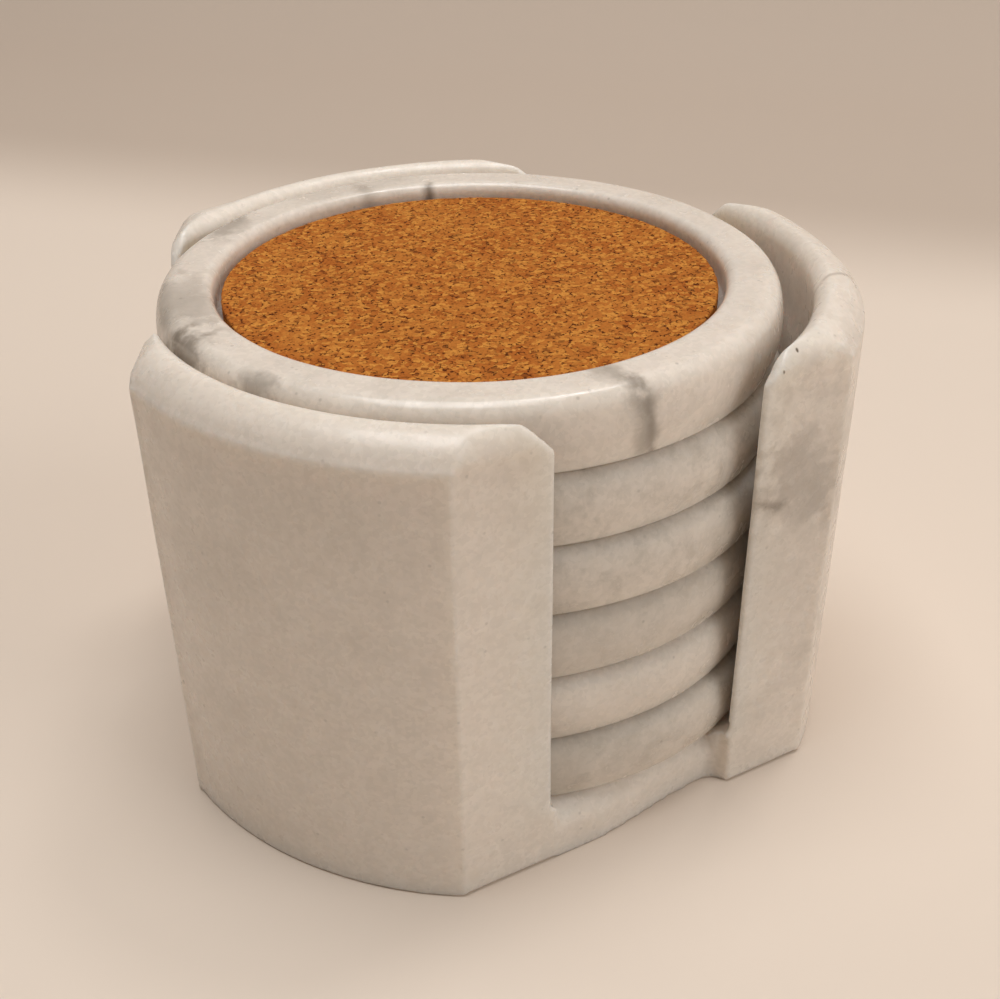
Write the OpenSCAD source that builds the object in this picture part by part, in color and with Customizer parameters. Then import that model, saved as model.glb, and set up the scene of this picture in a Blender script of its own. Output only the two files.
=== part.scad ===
// Set of round stone coasters with cork inlays, stacked in a stone holder.
// Millimetres. +Z is up. The origin is the centre of the holder's base, on the axis of the stack.
// The front finger gap faces -Y.

/* [Coasters] */
// Number of coasters in the stack
coaster_count = 6; // [2:1:8]
// Diameter of a coaster at its widest
coaster_d = 100; // [90:1:110]
// Thickness of a coaster
coaster_t = 11.7; // [10:0.1:15]
// Radius of the curve that bellies the side out
side_r = 13; // [11:0.5:20]
// Height of the widest point above the coaster's bottom
belly_h = 5.75; // [4:0.25:6]
// Rounding of the rim's outer top edge
rim_round = 4.5; // [1:0.25:4.5]
// Rounding of the rim's inner top edge
rim_inner_round = 1; // [0.5:0.25:2]
// Rounding of the bottom edge
foot_round = 1; // [0.5:0.25:1.5]
// Width of the rim around the recess for the cork
rim_w = 9.25; // [8:0.25:14]
// Depth of the recess for the cork
recess_depth = 5.2; // [4:0.2:6]

/* [Cork inlays] */
// Thickness of the cork
cork_t = 3.1; // [2:0.1:3.4]
// Gap between the cork's edge and the recess wall
cork_gap = 1.1; // [0.3:0.1:1.5]

/* [Holder] */
// Radial clearance between a coaster and the well
well_gap = 2.4; // [2:0.1:3]
// Thickness of the curved walls
wall_t = 8.4; // [8:0.2:12]
// Thickness of the base
base_t = 10; // [7:0.5:14]
// How far the top coaster's rim stands above the walls
rim_stand = 0; // [0:0.25:4]
// How far each outer flat cuts inside the circle of the well
flat_bite = 2.2; // [1.6:0.1:2.6]
// Rounding of the curved walls' outer top edge
top_round = 7; // [3:0.5:7]
// Rounding of the flats' top edge
flat_round = 4.5; // [1:0.5:5]
// Rounding of the upright corners between flats and curved walls
corner_round = 3; // [1:0.5:5]
// Rounding of the well's top edge
lip_round = 0.8; // [0.4:0.1:1]
// Rounding of the base's bottom edge
base_round = 1; // [0.5:0.25:2]
// Fillet between the well's floor and its wall
well_fillet = 1.2; // [0.5:0.1:1.4]

/* [Finger gaps] */
// Width of the front gap
front_gap_w = 35.6; // [34:0.2:40]
// Width of the two rear gaps
rear_gap_w = 36; // [34:1:48]
// Fillet in the lower corners of a gap
gap_fillet = 2.5; // [1:0.5:4]
// Width of the cut corner at the top of a gap
flare_w = 5; // [2:0.5:6]
// Height of the cut corner at the top of a gap
flare_h = 5.4; // [2:0.2:8]
// How far the base's face is cut back below a gap
sill_recess = 1.2; // [0.4:0.2:1.6]
// Rounding of the base's front edge below a gap
sill_round = 3; // [1:0.5:4]

/* [Hidden] */
$fn = 120;

// Every cut runs this far past the face that it leaves by
overrun = 1;

// Where the coasters' centres lie off the axis, lowest coaster first, as shares of the clearance in the well
slip_shares = [[0.11, -0.29], [-0.47, 0.03], [-0.39, 0.12], [-0.08, -0.03], [-0.47, 0.20], [-0.76, 0.36]];

coaster_r = coaster_d / 2;
recess_r = coaster_r - rim_w;
well_r = coaster_r + well_gap;
holder_r = well_r + wall_t;
wall_h = coaster_count * coaster_t - rim_stand;
holder_h = base_t + wall_h;
flat_d = well_r - flat_bite;
gap_turns = [for (i = [0:2]) -90 + i * 120];
gap_widths = [front_gap_w, rear_gap_w, rear_gap_w];

// What lies outside a round of radius r in the wedge from angle a to angle b about its centre
module corner_waste(r, a, b) {
    reach = 2 * r;
    m = (a + b) / 2;
    difference() {
        polygon([
            [0, 0],
            reach * [cos(a), sin(a)],
            reach * [cos(m), sin(m)],
            reach * [cos(b), sin(b)]
        ]);
        circle(r);
    }
}

// Section of a coaster from its axis outwards, bottom at zero
module disc_section() {
    belly_x = coaster_r - side_r;
    top_z = coaster_t - rim_round - belly_h;
    top_x = sqrt(pow(side_r - rim_round, 2) - pow(top_z, 2));
    foot_z = belly_h - foot_round;
    foot_x = sqrt(pow(side_r - foot_round, 2) - pow(foot_z, 2));
    difference() {
        union() {
            square([belly_x, coaster_t]);
            intersection() {
                translate([belly_x, 0]) square([side_r, coaster_t]);
                translate([belly_x, belly_h]) circle(side_r);
            }
        }
        translate([belly_x + top_x, coaster_t - rim_round])
            corner_waste(rim_round, atan2(top_z, top_x), 90);
        translate([belly_x + foot_x, foot_round])
            corner_waste(foot_round, -90, -atan2(foot_z, foot_x));
        translate([0, coaster_t - recess_depth]) square([recess_r, recess_depth + overrun]);
        translate([recess_r + rim_inner_round, coaster_t - rim_inner_round])
            corner_waste(rim_inner_round, 90, 180);
    }
}

// Middle of coaster number i's bottom
function seat(i) = [
    well_gap * slip_shares[(i - 1) % len(slip_shares)][0],
    well_gap * slip_shares[(i - 1) % len(slip_shares)][1],
    base_t + (i - 1) * coaster_t
];

module coaster_disc(i) {
    color([0.80, 0.79, 0.76]) translate(seat(i)) rotate_extrude() disc_section();
}

module cork_inlay(i) {
    color([0.67, 0.42, 0.20])
        translate(seat(i) + [0, 0, coaster_t - recess_depth])
            cylinder(h = cork_t, r = recess_r - cork_gap);
}

// Section of the holder's round blank with its well
module blank_section() {
    difference() {
        square([holder_r, holder_h]);
        translate([holder_r - top_round, holder_h - top_round]) corner_waste(top_round, 0, 90);
        translate([holder_r - base_round, base_round]) corner_waste(base_round, -90, 0);
        difference() {
            translate([0, base_t]) square([well_r, wall_h + overrun]);
            translate([well_r - well_fillet, base_t + well_fillet]) corner_waste(well_fillet, -90, 0);
        }
        translate([well_r + lip_round, holder_h - lip_round]) corner_waste(lip_round, 90, 180);
    }
}

// Runs a section, drawn as distance from the axis against height, sideways for a width
module run_sideways(w) {
    rotate([90, 0, 0]) linear_extrude(height = w, center = true) children();
}

// What one outer flat takes off the blank, on the +X side
module flat_waste() {
    run_sideways(2 * holder_r) {
        translate([flat_d, -overrun]) square([holder_r, holder_h + 2 * overrun]);
        translate([flat_d - flat_round, holder_h - flat_round]) corner_waste(flat_round, 0, 90);
        translate([flat_d - base_round, base_round]) corner_waste(base_round, -90, 0);
    }
    // upright corners where the flat meets the curved walls
    corner_x = flat_d - corner_round;
    corner_y = sqrt(pow(holder_r - corner_round, 2) - pow(corner_x, 2));
    for (side = [-1, 1])
        translate([corner_x, side * corner_y, -overrun])
            linear_extrude(height = holder_h + 2 * overrun)
                corner_waste(corner_round, 0, side * atan2(corner_y, corner_x));
}

// Outline of a finger gap, as width against height
module gap_outline(w) {
    half = w / 2;
    translate([-half, base_t + gap_fillet]) square([w, wall_h]);
    translate([gap_fillet - half, base_t]) square([w - 2 * gap_fillet, wall_h]);
    for (side = [-1, 1])
        translate([side * (half - gap_fillet), base_t + gap_fillet]) circle(gap_fillet);
    polygon([
        [-half, holder_h - flare_h],
        [half, holder_h - flare_h],
        [half + flare_w, holder_h],
        [half + flare_w, holder_h + overrun],
        [-half - flare_w, holder_h + overrun],
        [-half - flare_w, holder_h]
    ]);
}

// What one finger gap takes away, with the sill below it, on the +X side
module gap_waste(w) {
    sill_d = flat_d - sill_recess;
    rotate([90, 0, 90]) linear_extrude(height = holder_r + overrun) gap_outline(w);
    run_sideways(w - 2 * gap_fillet) {
        translate([sill_d, -overrun]) square([holder_r, base_t + 2 * overrun]);
        translate([sill_d - sill_round, base_t - sill_round]) corner_waste(sill_round, 0, 90);
        translate([sill_d - base_round, base_round]) corner_waste(base_round, -90, 0);
    }
}

module holder() {
    color([0.86, 0.84, 0.80])
        difference() {
            rotate_extrude() blank_section();
            for (i = [0:2])
                rotate([0, 0, gap_turns[i]]) {
                    flat_waste();
                    gap_waste(gap_widths[i]);
                }
        }
}

holder();
for (i = [1:coaster_count]) {
    coaster_disc(i);
    cork_inlay(i);
}
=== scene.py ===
"""Looks for a stone coaster set: a marble holder, six marble coasters and their cork inlays.

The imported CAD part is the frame. Each piece is rebuilt in the place of its CAD node, with the
softened arrises, the slightly uneven hand-ground faces and the crumbly cork of the real one.
"""

import math

import bmesh
import bpy
from bpy.props import FloatProperty, FloatVectorProperty, IntProperty, PointerProperty
from bpy.types import Operator, Panel, PropertyGroup
from mathutils import Matrix, Vector, noise


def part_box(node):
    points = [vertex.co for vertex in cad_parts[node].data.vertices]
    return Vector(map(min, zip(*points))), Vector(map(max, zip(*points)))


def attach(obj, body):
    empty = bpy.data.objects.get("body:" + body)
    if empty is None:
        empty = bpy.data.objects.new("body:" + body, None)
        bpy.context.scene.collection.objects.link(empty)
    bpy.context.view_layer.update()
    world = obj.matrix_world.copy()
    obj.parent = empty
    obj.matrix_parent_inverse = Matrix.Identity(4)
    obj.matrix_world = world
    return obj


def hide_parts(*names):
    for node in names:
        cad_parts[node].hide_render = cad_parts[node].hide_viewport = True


bl_info = {
    "name": "Stone Coaster Set",
    "version": (1, 0, 0),
    "blender": (4, 5, 0),
    "location": "View3D > Sidebar > Coaster Set",
    "description": "Marble coasters with cork inlays, stacked in their marble holder",
    "category": "Add Mesh",
}

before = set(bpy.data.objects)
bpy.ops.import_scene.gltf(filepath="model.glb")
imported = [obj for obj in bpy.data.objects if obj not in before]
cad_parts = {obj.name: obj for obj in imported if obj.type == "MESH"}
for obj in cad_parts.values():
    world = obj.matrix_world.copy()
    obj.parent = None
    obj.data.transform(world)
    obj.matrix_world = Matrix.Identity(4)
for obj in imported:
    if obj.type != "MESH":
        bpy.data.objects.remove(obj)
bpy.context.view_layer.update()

MM = 0.001
COASTERS = range(1, 7)

# Sizes of the CAD holder that its rebuilt surface needs.
# Half the width of the front gap, and the height of the sill below it
HALF_GAP = 17.8 * MM
SILL_TOP = 10 * MM
# How far the outer flats lie from the middle
FLAT = 50.2 * MM
# Radius of the well that the coasters lie in, and of the holder's round outside
WELL = 52.4 * MM
OUTSIDE = 60.8 * MM

# Steps around a coaster and around a cork
DISC_STEPS = 288
CORK_STEPS = 256

# Veins and smudges that show on the outside: x, y, z, bearing, lean, width, wander, reach, strength
HOLDER_MARKS = (
    (21, -50, 54, 0, 80, 2.2, 1.5, 5, 0.5),
    (27, -50, 56, 0, 60, 12, 3, 14, 0.3),
    # This one greys the whole right flat a little, broad and faint
    (34, -45, 44, 20, 20, 44, 3, 42, 0.14),
    # This one draws a thin dark line across the right wall's top
    (46, -32, 80, -80, 0, 0.6, 0.0, 9, 0.4),
    (44, -34, 66, 20, 60, 1.2, 2.5, 14, 0.35),
    (-8, 58, 40, 10, 35, 2.2, 4, 24, 0.5),
    (20.6, -50.2, 76.6, 0, 0, 0.4, 0.1, 0.45, 1.0),
    (23.7, -49, 78.8, 0, 0, 0.4, 0.1, 0.45, 1.0),
)
TOP_COASTER_MARKS = (
    (-1.2, -48, 73, -6, 8, 1.5, 0.4, 8, 0.45),
    (-2.4, -48, 74.5, -6, 8, 3.6, 0.8, 9, 0.5),
    (-4.5, -43, 80, 20, 40, 3.5, 1.2, 5, 0.45),
    (11, 38.5, 78, -18, 0, 1.6, 0.4, 5, 0.75),
    (0.5, 43, 79, -3, 0, 2.4, 0.6, 6, 0.3),
    (-28, 40, 80, 130, 30, 7, 2, 9, 0.5),
    (-51, -2, 78, 0, 0, 6, 2, 7, 0.7),
    (-47, -19, 79, 20, 0, 4, 2, 5, 0.45),
    (-46, 12, 80, 0, 0, 14, 3, 16, 0.35),
)
# Grey veil over each coaster and strength of its mottle against the set's, from the lowest up
COASTER_TONES = ((0.25, 2.0), (0.0, 0.5), (0.25, 1.5), (0.16, 2.5), (0.1, 2.5), (0.0, 0.8))

# The backdrop: how far behind the middle its wall stands, how high the wall is, the radius of the
# bend below it, how far the floor reaches to either side and to the front, all in metres, and how
# far it is turned from square to the camera, in degrees
BACKDROP_DEPTH = 0.6
BACKDROP_RISE = 1.5
BACKDROP_BEND = 0.2
BACKDROP_SIDE = 14.0
BACKDROP_FRONT = 9.0
BACKDROP_TURN = 18
# Between these distances behind the middle the floor's colour turns into the wall's, in metres
TONE_CHANGE = (0.19, 0.29)

# Soft boxes: name, place and width in metres, power in watts
CEILING_BOX = ("ceiling_box", (-0.1, 0.05, 1.6), 0.9, 14.5)
RIGHT_BOX = ("right_box", (0.6, 0.15, 1.58), 0.3, 3.9)
FRONT_BOX = ("front_box", (0.9, -1.3, 0.9), 1.2, 9.5)
# The room's own light
ROOM_COLOUR = (1, 0.96, 0.9, 1)
ROOM_STRENGTH = 0.18

# Where the camera stands from the middle of the holder's base, in mm, and how it looks, in degrees
CAMERA_PLACE = (-106.58, -187.78, 164.0)
CAMERA_TURN = 29.91
CAMERA_DOWN = 34.72
CAMERA_ROLL = 0.90
CAMERA_LENS = 50.65
CAMERA_SHIFT = (0.0047, 0.104)
SENSOR_WIDTH = 36.0


def linear(hex_colour):
    """An sRGB hex colour as linear red, green, blue."""
    parts = [int(hex_colour[i : i + 2], 16) / 255 for i in (1, 3, 5)]
    return [c / 12.92 if c <= 0.04045 else ((c + 0.055) / 1.055) ** 2.4 for c in parts]


def length(name, description, millimetres):
    """A setting that is a length."""
    return FloatProperty(
        name=name, description=description, default=millimetres * MM, unit="LENGTH"
    )


def share(name, description, default):
    """A setting from 0 to 1."""
    return FloatProperty(
        name=name, description=description, default=default, min=0, max=1, subtype="FACTOR"
    )


def colour(name, description, hex_colour):
    """A setting that is a colour."""
    return FloatVectorProperty(
        name=name,
        description=description,
        default=linear(hex_colour),
        subtype="COLOR",
        min=0,
        max=1,
    )


class HolderSettings(PropertyGroup):
    voxel: length("Voxel", "Size of the grid that the holder's surface is rebuilt on", 0.5)
    arris_passes: IntProperty(
        name="Arris passes", description="Smoothing passes that round the arrises", default=6
    )
    waviness: length("Waviness", "How far hand polishing leaves the faces from true", 0.12)
    wave_size: length("Wave size", "Distance from one high spot to the next", 18)
    sill_sink: length("Sill sink", "How far the sill lies behind the flat at its right end", 2.8)
    sill_rounding: length("Sill rounding", "Rounding of the front sill's top edge", 5)
    lip_rounding: length("Lip rounding", "Rounding of the walls' inner top edge", 3)
    back_wall_left: length("Back wall left", "How far the back wall runs on at its left end", 2.5)
    back_wall_right: length("Back wall right", "How far it runs on at its right end", 2)
    back_wall_fuller: length("Back wall fuller", "How far its left flat stands out", 2.5)
    white: colour("White", "Ground colour of the holder's marble", "#ece1d5")
    grey: colour("Grey", "Clouds and patches in the holder's marble", "#958a78")
    vein: colour("Vein", "Veins and smudges", "#66594a")
    clouds: share("Clouds", "Strength of the large grey clouds", 0.14)
    mottle: share("Mottle", "Strength of the small grey patches", 0.07)
    specks: share("Specks", "Strength of the fine dark specks", 0.22)
    grain: share("Grain", "Difference between one crystal and the next", 0.12)
    dullness: share("Dullness", "Roughness that hand polishing leaves", 0.3)


class CoasterSettings(PropertyGroup):
    side_radius: length("Side radius", "Radius of the curve that bellies the side out", 13)
    belly_height: length("Belly height", "Height of the widest point above the bottom", 5.75)
    rim_rounding: length("Rim rounding", "Rounding of the rim's outer top edge", 3.2)
    inner_rounding: length("Inner rounding", "Rounding of the rim's inner top edge", 1.7)
    foot_rounding: length("Foot rounding", "Rounding of the bottom edge", 1)
    cork_gap: length("Cork gap", "Gap between the cork and the recess wall", 1.1)
    waviness: length("Waviness", "How far turning and polishing leave the faces from true", 0.1)
    wave_size: length("Wave size", "Distance from one high spot to the next", 14)
    white: colour("White", "Ground colour of the coasters' marble", "#e8ddd1")
    grey: colour("Grey", "Clouds and patches in the coasters' marble", "#928a7c")
    vein: colour("Vein", "Veins and smudges", "#66594a")
    clouds: share("Clouds", "Strength of the large grey clouds", 0.3)
    mottle: share("Mottle", "Strength of the small grey patches", 0.12)
    specks: share("Specks", "Strength of the fine dark specks", 0.3)
    grain: share("Grain", "Difference between one crystal and the next", 0.12)
    dullness: share("Dullness", "Roughness that polishing leaves", 0.23)


class CorkSettings(PropertyGroup):
    granule: length("Granule", "Size of a cork granule", 0.85)
    relief: length("Relief", "How far the granules stand above the gaps between them", 0.1)
    edge: length("Edge", "Rounding of the cork's edges", 0.4)
    tan: colour("Tan", "Light granules", "#cc883c")
    brown: colour("Brown", "Most granules", "#a95f25")
    # Colour of the dark bark specks, which also paints the shade in the gaps between granules
    bark_and_gap_shade: colour("Bark", "Dark specks and the gaps between granules", "#4a1a08")


class StageSettings(PropertyGroup):
    floor: colour("Floor", "Floor around the object", "#e3d4c5")
    wall: colour("Wall", "Backdrop behind the object", "#c2b2a3")


def add_node(tree, kind, inputs=None, **settings):
    """Adds a node and applies its settings.

    Its inputs, given by name or number, are linked where the value is a socket and set otherwise.
    """
    node = tree.nodes.new(kind)
    for name, value in settings.items():
        setattr(node, name, value)
    for key, value in (inputs or {}).items():
        if isinstance(value, bpy.types.NodeSocket):
            tree.links.new(value, node.inputs[key])
        else:
            node.inputs[key].default_value = value
    return node


def noise_field(tree, place, size, detail=3.0, roughness=0.5, distortion=0.0):
    """Smooth random field whose features are about size metres wide."""
    inputs = {
        "Vector": place,
        "Scale": 1 / size,
        "Detail": detail,
        "Roughness": roughness,
        "Distortion": distortion,
    }
    return add_node(tree, "ShaderNodeTexNoise", inputs).outputs["Fac"]


def cells(tree, place, size):
    """The node of random cells about size metres wide."""
    return add_node(tree, "ShaderNodeTexVoronoi", {"Vector": place, "Scale": 1 / size})


def split_colour(tree, source):
    """The red, green and blue of a colour output, as separate outputs."""
    return add_node(tree, "ShaderNodeSeparateColor", {0: source}).outputs


def ramp(tree, value, low, high, low_out=0.0, high_out=1.0):
    """Goes smoothly from low_out, where value is low, to high_out, where it is high."""
    inputs = {
        "Value": value,
        "From Min": low,
        "From Max": high,
        "To Min": low_out,
        "To Max": high_out,
    }
    node = add_node(tree, "ShaderNodeMapRange", inputs, interpolation_type="SMOOTHSTEP")
    return node.outputs["Result"]


def blend(tree, factor, a, b):
    """Colour a where factor is 0 and colour b where it is 1."""
    return add_node(tree, "ShaderNodeMix", {0: factor, 6: a, 7: b}, data_type="RGBA").outputs[2]


def arithmetic(tree, operation, a, b):
    """The result of an operation on two numbers or number outputs."""
    return add_node(tree, "ShaderNodeMath", {0: a, 1: b}, operation=operation).outputs[0]


def vector_math(tree, operation, *values):
    """The node of an operation on vectors."""
    inputs = dict(enumerate(values))
    return add_node(tree, "ShaderNodeVectorMath", inputs, operation=operation)


def rgba(rgb, gain=1.0):
    """A colour for a node, made darker or lighter by gain."""
    return (*(min(1.0, channel * gain) for channel in rgb), 1.0)


def mark(tree, place, x, y, z, bearing, lean, width, wander, reach, strength):
    """Darkness of one vein or smudge: a sheet through the stone that fades out around a point.

    The point x, y, z and the width, wander and reach are in mm; bearing and lean turn the sheet's
    normal, in degrees. A sheet as wide as its reach is a smudge.
    """
    turn, tip = math.radians(bearing), math.radians(lean)
    normal = (math.cos(turn) * math.cos(tip), math.sin(turn) * math.cos(tip), math.sin(tip))
    off = vector_math(tree, "SUBTRACT", place, (x * MM, y * MM, z * MM)).outputs["Vector"]
    across = vector_math(tree, "DOT_PRODUCT", off, normal).outputs["Value"]
    wobble = noise_field(tree, place, 7 * MM, detail=5, roughness=0.6)
    wobble = ramp(tree, wobble, 0.2, 0.8, -wander * MM, wander * MM)
    across = arithmetic(tree, "ABSOLUTE", arithmetic(tree, "ADD", across, wobble), 0.0)
    near = ramp(tree, across, 0.0, width * MM, strength, 0.0)
    away = vector_math(tree, "LENGTH", off).outputs["Value"]
    soft = 0.3 * reach * MM
    ragged = ramp(tree, noise_field(tree, place, 3 * MM, detail=4), 0.3, 0.7, -soft, soft)
    fade = ramp(tree, arithmetic(tree, "ADD", away, ragged), soft, reach * MM, 1.0, 0.0)
    return arithmetic(tree, "MULTIPLY", near, fade)


def start_material(name):
    """A new material, its node tree and its shader."""
    material = bpy.data.materials.new(name)
    material.use_nodes = True
    tree = material.node_tree
    return material, tree, tree.nodes["Principled BSDF"]


def start_pattern(tree, shift):
    """The place on the piece, and the same place shifted so that no two pieces look alike."""
    here = add_node(tree, "ShaderNodeTexCoord").outputs["Object"]
    return here, vector_math(tree, "ADD", here, shift).outputs["Vector"]


def link_all(tree, shader, outputs):
    """Links outputs to the shader's sockets of the given names."""
    for name, output in outputs.items():
        tree.links.new(output, shader.inputs[name])


def set_all(shader, values):
    """Sets the shader's uniform values."""
    for name, value in values.items():
        shader.inputs[name].default_value = value


def bump(tree, height, strength, distance):
    """The bent normal of a surface with that relief."""
    inputs = {"Height": height, "Strength": strength, "Distance": distance}
    return add_node(tree, "ShaderNodeBump", inputs).outputs["Normal"]


def marble(name, settings, marks, shift, veil=0.0, mottle=1.0):
    """White crystalline marble, ground and hand-polished to satin.

    Sugary crystals catch the light as small specks; pale clouds and a few grey veins run through
    the block; light goes several millimetres in, which makes the arrises and the upper edges glow.
    veil greys one block against the next, and mottle strengthens its patches.
    """
    material, tree, shader = start_material(name)
    here, place = start_pattern(tree, shift)
    white, grey = rgba(settings.white), rgba(settings.grey)

    # Large clouds, small patches, veins and smudges
    clouds = noise_field(tree, place, 26 * MM, 4, 0.55, 0.6)
    clouds = ramp(tree, clouds, 0.45, 0.75, 0.0, settings.clouds)
    body = blend(tree, veil, blend(tree, clouds, white, grey), grey)
    patches = noise_field(tree, place, 4 * MM, 5, 0.65)
    patches = ramp(tree, patches, 0.42, 0.7, 0.0, settings.mottle * mottle)
    body = blend(tree, patches, body, grey)
    for spec in marks:
        body = blend(tree, mark(tree, here, *spec), body, rgba(settings.vein))

    # Crystals that differ a little in tone, and a dark speck in the middle of some larger cells
    glint = split_colour(tree, cells(tree, place, 0.7 * MM).outputs["Color"])[0]
    body = blend(tree, ramp(tree, glint, 0.0, 1.0, 0.0, settings.grain), body, grey)
    grit = cells(tree, place, 2.4 * MM)
    chance = split_colour(tree, grit.outputs["Color"])[0]
    dot = ramp(tree, grit.outputs["Distance"], 0.05, 0.16, settings.specks, 0.0)
    dot = arithmetic(tree, "MULTIPLY", dot, ramp(tree, chance, 0.5, 0.9))
    body = blend(tree, dot, body, rgba(settings.grey, 0.5))

    # A polish that is duller in some spots than in others, over faint pits
    dull = settings.dullness
    polish = ramp(tree, noise_field(tree, place, 4 * MM, 3), 0.3, 0.7, 0.8 * dull, 1.25 * dull)
    pits = bump(tree, noise_field(tree, place, 2 * MM, 2), strength=0.06, distance=0.1 * MM)
    link_all(tree, shader, {"Base Color": body, "Roughness": polish, "Normal": pits})
    values = {
        "IOR": 1.5,
        "Subsurface Weight": 0.6,
        "Subsurface Radius": (1.0, 0.85, 0.7),
        "Subsurface Scale": 6 * MM,
    }
    set_all(shader, values)
    return material


def cork(name, settings, shift):
    """Agglomerated cork, pressed from granules and sanded flat.

    Granules of tan and brown lie edge to edge, with dark bark specks; the gaps between them
    are sunk a little and darkened with painted shade. The surface is dull.
    """
    material, tree, shader = start_material(name)
    place = start_pattern(tree, shift)[1]
    tan, brown, bark_and_gap_shade = rgba(settings.tan), rgba(settings.brown), rgba(settings.bark_and_gap_shade)

    # Granules with crooked outlines, each light or dark
    inputs = {"Vector": place, "Scale": 1 / (0.9 * MM), "Detail": 2.0}
    warp = add_node(tree, "ShaderNodeTexNoise", inputs).outputs["Color"]
    pushed = vector_math(tree, "MULTIPLY_ADD", warp, (0.8 * MM,) * 3, place).outputs["Vector"]
    lots = split_colour(tree, cells(tree, pushed, settings.granule).outputs["Color"])
    body = blend(tree, ramp(tree, lots[0], 0.4, 1.0), brown, tan)

    # Crumbs inside the granules, a slow drift of tone, and bark in a few granules
    crumbs = noise_field(tree, place, 0.5 * MM, 3, 0.7)
    body = blend(tree, ramp(tree, crumbs, 0.46, 0.68, 0.0, 0.7), body, rgba(settings.brown, 0.42))
    drift = noise_field(tree, place, 5 * MM, 3)
    body = blend(tree, ramp(tree, drift, 0.35, 0.65, 0.0, 0.3), body, tan)
    body = blend(tree, ramp(tree, lots[1], 0.95, 0.98, 0.0, 0.5), body, bark_and_gap_shade)

    # Painted shade in the gaps along parts of the granules' edges, which are also sunk a little
    inputs = {"Vector": pushed, "Scale": 1 / settings.granule}
    edge = add_node(tree, "ShaderNodeTexVoronoi", inputs, feature="DISTANCE_TO_EDGE")
    broken = ramp(tree, noise_field(tree, place, 1.0 * MM, 3, 0.6), 0.52, 0.6)
    gaps = ramp(tree, edge.outputs["Distance"], 0.02, 0.14, 1.0, 0.0)
    gaps = arithmetic(tree, "MULTIPLY", gaps, broken)
    body = blend(tree, gaps, body, bark_and_gap_shade)
    relief = bump(tree, arithmetic(tree, "SUBTRACT", 1.0, gaps), strength=0.7, distance=0.25 * MM)
    link_all(tree, shader, {"Base Color": body, "Normal": relief})
    set_all(shader, {"Roughness": 0.9, "Specular IOR Level": 0.1})
    return material


def matt_paper(settings):
    """Matt background paper, which shows no highlight; it darkens where it turns into a wall."""
    material, tree, shader = start_material("matt_paper")
    here = add_node(tree, "ShaderNodeTexCoord").outputs["Object"]
    away = add_node(tree, "ShaderNodeSeparateXYZ", {0: here}).outputs["Y"]
    tone = blend(tree, ramp(tree, away, *TONE_CHANGE), rgba(settings.floor), rgba(settings.wall))
    link_all(tree, shader, {"Base Color": tone})
    set_all(shader, {"Roughness": 0.95, "Specular IOR Level": 0.1})
    return material


def need(*nodes):
    """Stops an operator whose CAD nodes the frame doesn't hold."""
    missing = [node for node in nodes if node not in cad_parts]
    if missing:
        raise RuntimeError(f"the frame has no node named {missing}")


def add_object(name, data):
    """A new object in the scene."""
    thing = bpy.data.objects.new(name, data)
    bpy.context.scene.collection.objects.link(thing)
    return thing


def finished_mesh(name, bm):
    """The mesh of a bmesh, which is freed."""
    mesh = bpy.data.meshes.new(name)
    bm.to_mesh(mesh)
    bm.free()
    return mesh


def smooth_faces(mesh):
    """Shades every face smooth."""
    for polygon in mesh.polygons:
        polygon.use_smooth = True


def place_piece(name, mesh, node, body, material):
    """Makes a shaded piece of the mesh, in the place of its CAD node and riding on its body."""
    smooth_faces(mesh)
    mesh.materials.clear()
    mesh.materials.append(material)
    piece = add_object(name, mesh)
    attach(piece, body)
    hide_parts(node)


def prism(outline, low, high):
    """An upright prism over an outline given anticlockwise, as an object."""
    bm = bmesh.new()
    rows = [[bm.verts.new((x, y, z)) for x, y in outline] for z in (low, high)]
    bm.faces.new(rows[0][::-1])
    bm.faces.new(rows[1])
    for i in range(len(outline)):
        after = (i + 1) % len(outline)
        bm.faces.new((rows[0][i], rows[0][after], rows[1][after], rows[1][i]))
    return add_object("prism", finished_mesh("prism", bm))


def rebuilt(node, voxel, passes, tools):
    """The CAD node's shape as an even mesh, with its arrises softened by smoothing passes.

    tools holds a boolean operation and an object for each thing that is added or cut away first.
    """
    work = add_object("work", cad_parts[node].data.copy())
    for operation, tool in tools:
        step = work.modifiers.new(operation, "BOOLEAN")
        step.operation, step.object, step.solver = operation, tool, "EXACT"
    remesh = work.modifiers.new("remesh", "REMESH")
    remesh.mode = "VOXEL"
    remesh.voxel_size = voxel
    soften = work.modifiers.new("soften", "SMOOTH")
    soften.factor = 0.5
    soften.iterations = passes
    graph = bpy.context.evaluated_depsgraph_get()
    mesh = bpy.data.meshes.new_from_object(work.evaluated_get(graph))
    for done in (work, *(tool for operation, tool in tools)):
        bpy.data.objects.remove(done)
    return mesh


def roughen(mesh, height, size, seed):
    """Moves each point along its normal by a smooth random amount of up to about height."""
    start = Vector((seed * 7.3, seed * 3.1, seed * 5.7))
    moves = []
    for vertex in mesh.vertices:
        moves.append(vertex.normal * (height * noise.noise(vertex.co / size + start)))
    for vertex, move in zip(mesh.vertices, moves):
        vertex.co += move


def smooth_step(value, low, high):
    """0 at low and 1 at high, which may also be the smaller of the two."""
    part = max(0.0, min(1.0, (value - low) / (high - low)))
    return part * part * (3 - 2 * part)


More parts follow.
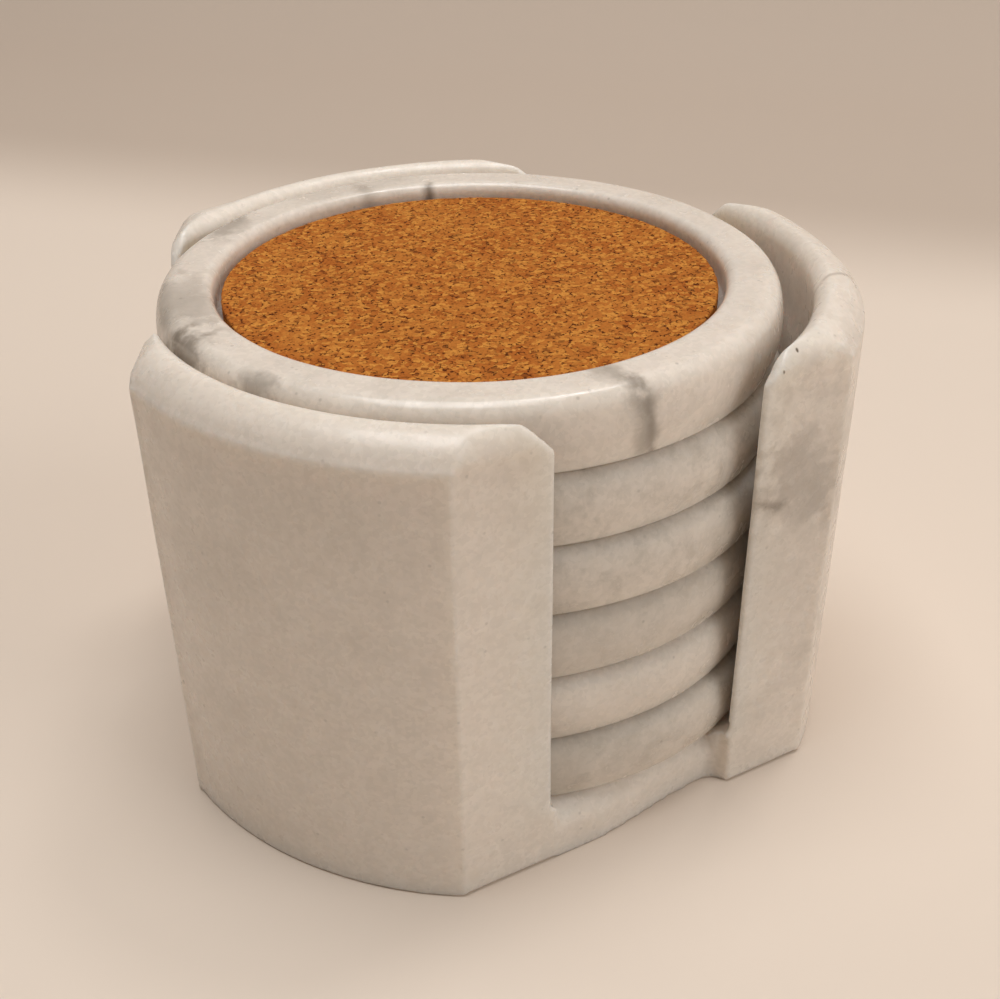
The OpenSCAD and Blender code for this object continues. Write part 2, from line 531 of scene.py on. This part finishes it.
def true_up(mesh):
    """Brings points that the grid left a little off back onto the outside, the well and the flats.

    Points up to near off are brought all the way, and points up to far off in part. The outside
    goes in by near, so that its waves stay inside the CAD node's box.
    """
    near, far = 0.35 * MM, 0.7 * MM
    flats = [Vector((math.cos(math.radians(a)), math.sin(math.radians(a)), 0)) for a in (30, 150)]
    for vertex in mesh.vertices:
        spot = vertex.co
        radius = math.hypot(spot.x, spot.y)
        scale = 1.0
        if abs(radius - OUTSIDE) < MM:
            part = smooth_step(abs(radius - OUTSIDE), MM, near)
            scale += ((OUTSIDE - near) / radius - 1) * part
        elif spot.z > SILL_TOP + 3 * MM:
            scale += (WELL / radius - 1) * smooth_step(abs(radius - WELL), far, near)
        spot.x, spot.y = spot.x * scale, spot.y * scale
        for flat in flats:
            off = FLAT - spot.dot(flat)
            vertex.co += flat * (off * smooth_step(abs(off), far, near))


def round_lip(mesh, bore, top, radius):
    """Rounds the inner top edge of the walls around a bore, by pulling points back."""
    for vertex in mesh.vertices:
        spot = vertex.co
        distance = math.hypot(spot.x, spot.y)
        out, up = distance - (bore + radius), spot.z - (top - radius)
        reach = math.hypot(out, up)
        if out < 0 and up > 0 and reach > radius:
            pulled = (bore + radius + out * radius / reach) / distance
            spot.x, spot.y = spot.x * pulled, spot.y * pulled
            spot.z = top - radius + up * radius / reach


def sill_face(x, sink):
    """Where the face of the front sill lies: flush with the flat on the left, sunk on the right.

    A short hollow brings it back to the flat at its very right end.
    """
    sunk = sink * smooth_step(x, -0.6 * HALF_GAP, 0.8 * HALF_GAP)
    step = max(0.0, min(1.0, (x - HALF_GAP + sink) / sink))
    return -FLAT + sunk * math.sqrt(1 - step * step)


def sill_tools(sink):
    """Boolean tools for the front sill: one fills it up to the flat, one cuts it to its face."""
    side, back = HALF_GAP - MM, -FLAT + 6 * MM
    fill = prism([(-side, -FLAT), (side, -FLAT), (side, back), (-side, back)], 0.0, SILL_TOP)
    coarse = [i * MM for i in range(-14, 15)]
    fine = [HALF_GAP - i * 0.25 * MM for i in range(11, -1, -1)]
    face = [(x, sill_face(x, sink)) for x in coarse + fine]
    ahead = -70 * MM
    outline = [(face[0][0], ahead), (HALF_GAP, ahead), *face[::-1]]
    waste = prism(outline, -MM, SILL_TOP + 0.2 * MM)
    return [("UNION", fill), ("DIFFERENCE", waste)]


def round_sill(mesh, sink, radius):
    """Rounds the top edge of the front sill, by pulling points back."""
    side, back, above = HALF_GAP - 1.5 * MM, -FLAT + 8 * MM, SILL_TOP + MM
    for vertex in mesh.vertices:
        spot = vertex.co
        if abs(spot.x) < side and spot.y < back and spot.z < above:
            middle = sill_face(spot.x, sink) + radius
            out, up = middle - spot.y, spot.z - (SILL_TOP - radius)
            reach = math.hypot(out, up)
            if out > 0 and up > 0 and reach > radius:
                spot.y = middle - out * radius / reach
                spot.z = SILL_TOP - radius + up * radius / reach


def shape_back_wall(mesh, left, right, fuller):
    """Makes the back wall longer at both ends, along its curve, and fuller at its left flat.

    The walls of a hand-cut holder differ.
    """
    still, end, past = math.radians(8), math.radians(42), math.radians(56)
    out = Vector((-math.cos(math.radians(30)), 0.5, 0))
    for vertex in mesh.vertices:
        spot = vertex.co
        lean = math.atan2(-spot.x, spot.y)
        if abs(lean) < past:
            part = smooth_step(abs(lean), still, end) * smooth_step(spot.z, SILL_TOP, 17 * MM)
            turn = (left if lean > 0 else -right) * part / math.hypot(spot.x, spot.y)
            spot.rotate(Matrix.Rotation(turn, 3, "Z"))
            if lean > 0:
                reach, side = spot.dot(out), -spot.cross(out).z
                on_flat = smooth_step(reach, 44 * MM, 50 * MM) * smooth_step(side, 38 * MM, 30 * MM)
                vertex.co += out * (fuller * on_flat * smooth_step(spot.z, 2 * MM, 12 * MM))


def hold_in(mesh, node):
    """Keeps the points inside the box of the CAD node."""
    low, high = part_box(node)
    for vertex in mesh.vertices:
        vertex.co = [max(a, min(b, c)) for a, b, c in zip(low, high, vertex.co)]


def arc(centre, radius, start, end, steps):
    """Points of an arc in a section, as distance from the axis and height; angles in degrees."""
    points = []
    for step in range(steps + 1):
        angle = math.radians(start + (end - start) * step / steps)
        points.append((centre[0] + radius * math.cos(angle), centre[1] + radius * math.sin(angle)))
    return points


def rings(start, end, steps):
    """Points along a straight line of a section, both ends left out."""
    return [
        tuple(a + (b - a) * step / steps for a, b in zip(start, end))
        for step in range(1, steps)
    ]


def coaster_section(radius, thickness, recess_radius, recess_depth, settings):
    """Half section of a coaster, from the middle of its bottom round to that of its recess."""
    belly_x = radius - settings.side_radius
    belly = settings.belly_height
    rim, inner, foot = settings.rim_rounding, settings.inner_rounding, settings.foot_rounding
    foot_drop = belly - foot
    foot_x = math.sqrt((settings.side_radius - foot) ** 2 - foot_drop**2)
    rim_rise = thickness - rim - belly
    rim_x = math.sqrt((settings.side_radius - rim) ** 2 - rim_rise**2)
    low = -math.degrees(math.atan2(foot_drop, foot_x))
    high = math.degrees(math.atan2(rim_rise, rim_x))
    floor = thickness - recess_depth
    outside = arc((belly_x + foot_x, foot), foot, -90, low, 6)
    outside += arc((belly_x, belly), settings.side_radius, low, high, 18)[1:]
    outside += arc((belly_x + rim_x, thickness - rim), rim, high, 90, 12)[1:]
    inside = arc((recess_radius + inner, thickness - inner), inner, 90, 180, 8)
    corner = (recess_radius, floor)
    points = [(0, 0), *rings((0, 0), outside[0], 16), *outside]
    points += [*rings(outside[-1], inside[0], 5), *inside, *rings(inside[-1], corner, 5)]
    points += [corner, *rings(corner, (0, floor), 12), (0, floor)]
    return points


def plate_section(radius, thickness, edge):
    """Half section of a round plate with rounded edges, from the middle of its bottom to its top.

    The top has many rings, because the granules stand out on it.
    """
    outside = arc((radius - edge, edge), edge, -90, 0, 4)
    outside += arc((radius - edge, thickness - edge), edge, 0, 90, 4)
    points = [(0, 0), *rings((0, 0), outside[0], 12), *outside]
    return points + [*rings(outside[-1], (0, thickness), 90), (0, thickness)]


def revolve(name, points, steps):
    """Turns a section about the Z axis. Its first and last points lie on the axis."""
    bm = bmesh.new()
    ends = [bm.verts.new((0, 0, points[i][1])) for i in (0, -1)]
    loops = []
    for radius, height in points[1:-1]:
        loop = []
        for step in range(steps):
            angle = 2 * math.pi * step / steps
            loop.append(bm.verts.new((radius * math.cos(angle), radius * math.sin(angle), height)))
        loops.append(loop)
    for step in range(steps):
        after = (step + 1) % steps
        bm.faces.new((ends[0], loops[0][after], loops[0][step]))
        bm.faces.new((ends[1], loops[-1][step], loops[-1][after]))
        for low, high in zip(loops, loops[1:]):
            bm.faces.new((low[step], low[after], high[after], high[step]))
    bm.normal_update()
    return finished_mesh(name, bm)


def turned(node, section, steps, waviness, wave_size, seed):
    """A revolved mesh in the place of its CAD node, a little uneven and held inside its box."""
    low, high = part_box(node)
    mesh = revolve(node, section, steps)
    mesh.transform(Matrix.Translation(((low.x + high.x) / 2, (low.y + high.y) / 2, low.z)))
    roughen(mesh, waviness, wave_size, seed)
    hold_in(mesh, node)
    return mesh


class COASTERSET_OT_holder(Operator):
    """Rebuild the marble holder"""

    bl_idname = "coaster_set.holder"
    bl_label = "Holder"

    def execute(self, context):
        need("holder")
        settings = context.scene.holder_settings
        tools = sill_tools(settings.sill_sink)
        mesh = rebuilt("holder", settings.voxel, settings.arris_passes, tools)
        true_up(mesh)
        roughen(mesh, settings.waviness, settings.wave_size, seed=1)
        round_sill(mesh, settings.sill_sink, settings.sill_rounding)
        round_lip(mesh, WELL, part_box("holder")[1].z, settings.lip_rounding)
        left, right = settings.back_wall_left, settings.back_wall_right
        shape_back_wall(mesh, left, right, settings.back_wall_fuller)
        hold_in(mesh, "holder")
        stone = marble("satin_white_marble_block", settings, HOLDER_MARKS, (0.3, 0.1, 0.2))
        place_piece("marble_holder", mesh, "holder", "holder", stone)
        return {"FINISHED"}


class COASTERSET_OT_discs(Operator):
    """Turn the marble coaster discs"""

    bl_idname = "coaster_set.discs"
    bl_label = "Coaster discs"

    def execute(self, context):
        settings = context.scene.coaster_settings
        for number in COASTERS:
            node, inlay = f"coaster_disc_{number}", f"cork_inlay_{number}"
            need(node, inlay)
            low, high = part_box(node)
            cork_low, cork_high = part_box(inlay)
            size, depth = high - low, high.z - cork_low.z
            recess_radius = (cork_high.x - cork_low.x) / 2 + settings.cork_gap
            section = coaster_section(size.x / 2, size.z, recess_radius, depth, settings)
            waviness, wave_size = settings.waviness, settings.wave_size
            mesh = turned(node, section, DISC_STEPS, waviness, wave_size, seed=number)
            name = f"satin_grey_marble_{number}"
            marks = TOP_COASTER_MARKS if number == COASTERS[-1] else ()
            shift = (0.11 * number, 0.07 * number, -0.05 * number)
            stone = marble(name, settings, marks, shift, *COASTER_TONES[number - 1])
            body = f"coaster_{number}"
            place_piece(f"marble_disc_{number}", mesh, node, body, stone)
        return {"FINISHED"}


class COASTERSET_OT_corks(Operator):
    """Press the cork inlays"""

    bl_idname = "coaster_set.corks"
    bl_label = "Cork inlays"

    def execute(self, context):
        settings = context.scene.cork_settings
        for number in COASTERS:
            node = f"cork_inlay_{number}"
            need(node)
            low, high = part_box(node)
            size = high - low
            section = plate_section(size.x / 2, size.z, settings.edge)
            seed = 10 + number
            mesh = turned(node, section, CORK_STEPS, settings.relief, settings.granule, seed)
            name = f"sanded_agglomerated_cork_{number}"
            pressed = cork(name, settings, (0.05 * number, 0.03 * number, 0.0))
            place_piece(f"cork_pad_{number}", mesh, node, f"coaster_{number}", pressed)
        return {"FINISHED"}


class COASTERSET_OT_stage(Operator):
    """Set the floor, backdrop, lights and camera"""

    bl_idname = "coaster_set.stage"
    bl_label = "Stage"

    def execute(self, context):
        add_backdrop(context.scene.stage_settings)
        add_lights()
        add_camera()
        return {"FINISHED"}


def add_backdrop(settings):
    """A floor that sweeps up behind the object into a wall, seen from the camera's side."""
    bend, steps = BACKDROP_BEND, 24
    start = BACKDROP_DEPTH - bend
    line = [(-BACKDROP_FRONT, 0.0), (start, 0.0)]
    for step in range(1, steps):
        angle = math.pi / 2 * step / steps
        line.append((start + bend * math.sin(angle), bend - bend * math.cos(angle)))
    line += [(BACKDROP_DEPTH, bend), (BACKDROP_DEPTH, BACKDROP_RISE)]
    bm = bmesh.new()
    sides = (-BACKDROP_SIDE, BACKDROP_SIDE)
    columns = [[bm.verts.new((side, y, z)) for y, z in line] for side in sides]
    for i in range(len(line) - 1):
        bm.faces.new((columns[0][i], columns[1][i], columns[1][i + 1], columns[0][i + 1]))
    mesh = finished_mesh("backdrop", bm)
    smooth_faces(mesh)
    mesh.materials.append(matt_paper(settings))
    backdrop = add_object("backdrop", mesh)
    backdrop.rotation_euler.z = -math.radians(CAMERA_TURN + BACKDROP_TURN)


def add_area_light(name, place, size, power):
    """A square soft box that looks at the stack."""
    light = bpy.data.lights.new(name, "AREA")
    light.shape = "SQUARE"
    light.size = size
    light.energy = power
    lamp = add_object(name, light)
    lamp.location = place
    aim = Vector((0, 0, 0.05)) - Vector(place)
    lamp.rotation_euler = aim.to_track_quat("-Z", "Y").to_euler()
    return lamp


def add_lights():
    """Soft boxes above, at the right and in front, and a pale room."""
    add_area_light(*CEILING_BOX)
    add_area_light(*RIGHT_BOX)
    # The front box only lifts the shadows, so it leaves no highlight on the polished stone
    fill = add_area_light(*FRONT_BOX)
    fill.visible_glossy = False
    world = bpy.data.worlds.new("studio")
    world.use_nodes = True
    room = world.node_tree.nodes["Background"]
    room.inputs["Color"].default_value = ROOM_COLOUR
    room.inputs["Strength"].default_value = ROOM_STRENGTH
    bpy.context.scene.world = world
    bpy.context.scene.view_settings.view_transform = "Standard"


def add_camera():
    """The camera at the photograph's viewing angle."""
    optics = bpy.data.cameras.new("camera")
    optics.lens = CAMERA_LENS
    optics.sensor_width = SENSOR_WIDTH
    optics.sensor_fit = "HORIZONTAL"
    optics.shift_x, optics.shift_y = CAMERA_SHIFT
    optics.clip_start = 10 * MM
    camera = add_object("camera", optics)
    turn = Matrix.Rotation(-math.radians(CAMERA_TURN), 4, "Z")
    down = Matrix.Rotation(math.radians(90 - CAMERA_DOWN), 4, "X")
    roll = Matrix.Rotation(-math.radians(CAMERA_ROLL), 4, "Z")
    camera.matrix_world = Matrix.Translation(MM * Vector(CAMERA_PLACE)) @ turn @ down @ roll
    bpy.context.scene.camera = camera


class COASTERSET_PT_panel(Panel):
    """Sizes, colours and building steps of the coaster set"""

    bl_label = "Coaster Set"
    bl_space_type = "VIEW_3D"
    bl_region_type = "UI"
    bl_category = "Coaster Set"

    def draw(self, context):
        for operator, settings in zip(OPERATORS, SETTINGS):
            box = self.layout.box()
            box.operator(operator.bl_idname)
            group = getattr(context.scene, settings)
            for name in group.__annotations__:
                box.prop(group, name)


SETTINGS = {
    "holder_settings": HolderSettings,
    "coaster_settings": CoasterSettings,
    "cork_settings": CorkSettings,
    "stage_settings": StageSettings,
}
OPERATORS = (COASTERSET_OT_holder, COASTERSET_OT_discs, COASTERSET_OT_corks, COASTERSET_OT_stage)


def register():
    """Adds the settings, the operators and the panel to Blender."""
    for name, group in SETTINGS.items():
        bpy.utils.register_class(group)
        setattr(bpy.types.Scene, name, PointerProperty(type=group))
    for operator in OPERATORS:
        bpy.utils.register_class(operator)
    bpy.utils.register_class(COASTERSET_PT_panel)


def unregister():
    """Takes them out again."""
    bpy.utils.unregister_class(COASTERSET_PT_panel)
    for operator in OPERATORS:
        bpy.utils.unregister_class(operator)
    for name, group in SETTINGS.items():
        delattr(bpy.types.Scene, name)
        bpy.utils.unregister_class(group)


def main():
    """Builds the set and its stage."""
    register()
    bpy.ops.coaster_set.holder()
    bpy.ops.coaster_set.discs()
    bpy.ops.coaster_set.corks()
    bpy.ops.coaster_set.stage()


if __name__ == "__main__":
    main()
